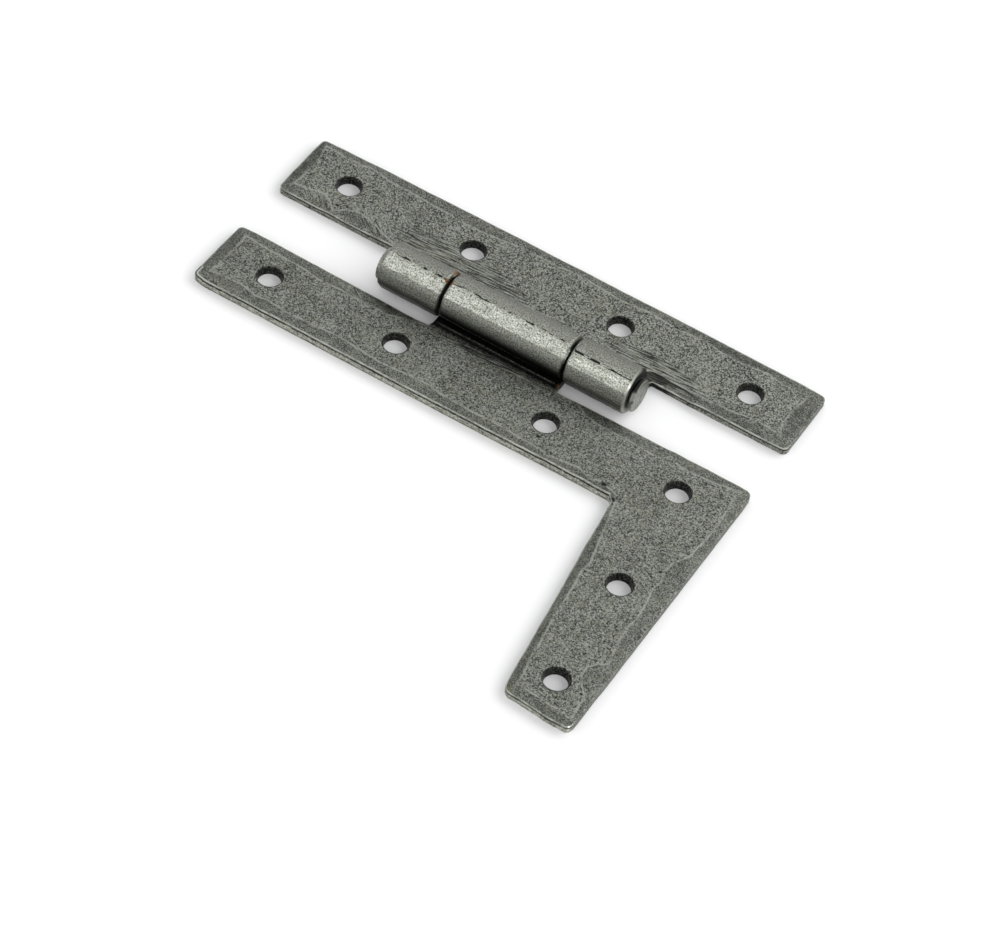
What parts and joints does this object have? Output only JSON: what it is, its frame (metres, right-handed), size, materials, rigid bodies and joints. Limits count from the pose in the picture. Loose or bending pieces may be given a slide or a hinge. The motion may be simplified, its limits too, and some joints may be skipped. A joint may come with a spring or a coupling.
{
  "type": "h l hinge",
  "caption": "Small cabinet hinge of pewter-grey steel with hammered bevelled edges: an H of strips on rolled knuckles, with an L arm on one leaf; it lies open and flat.",
  "frame": {"origin": "on the hinge pin's axis, at the middle of the strips' length", "axes": "+X along the pin towards the end with the L arm, +Y from the angled leaf to the straight leaf, +Z out of the front faces"},
  "size_m": [0.083, 0.0698, 0.007],
  "materials": {
    "straight_leaf_steel": "pewter-grey patina on hammered steel, pitted and brushed",
    "angled_leaf_steel": "pewter-grey patina on hammered steel, pitted and brushed",
    "pin_steel": "dark grey steel with a little rust at the knuckle gaps"
  },
  "bodies": {
    "straight_leaf": {"straight_leaf": "straight_leaf_steel", "hinge_pin": "pin_steel"},
    "angled_leaf": {"angled_leaf": "angled_leaf_steel"}
  },
  "joints": [
    {"name": "leaf_fold", "type": "hinge", "parent": "straight_leaf", "child": "angled_leaf", "pos_m": [0, 0, 0], "axis": [-1, 0, 0], "range_deg": [-95, 190]}
  ]
}
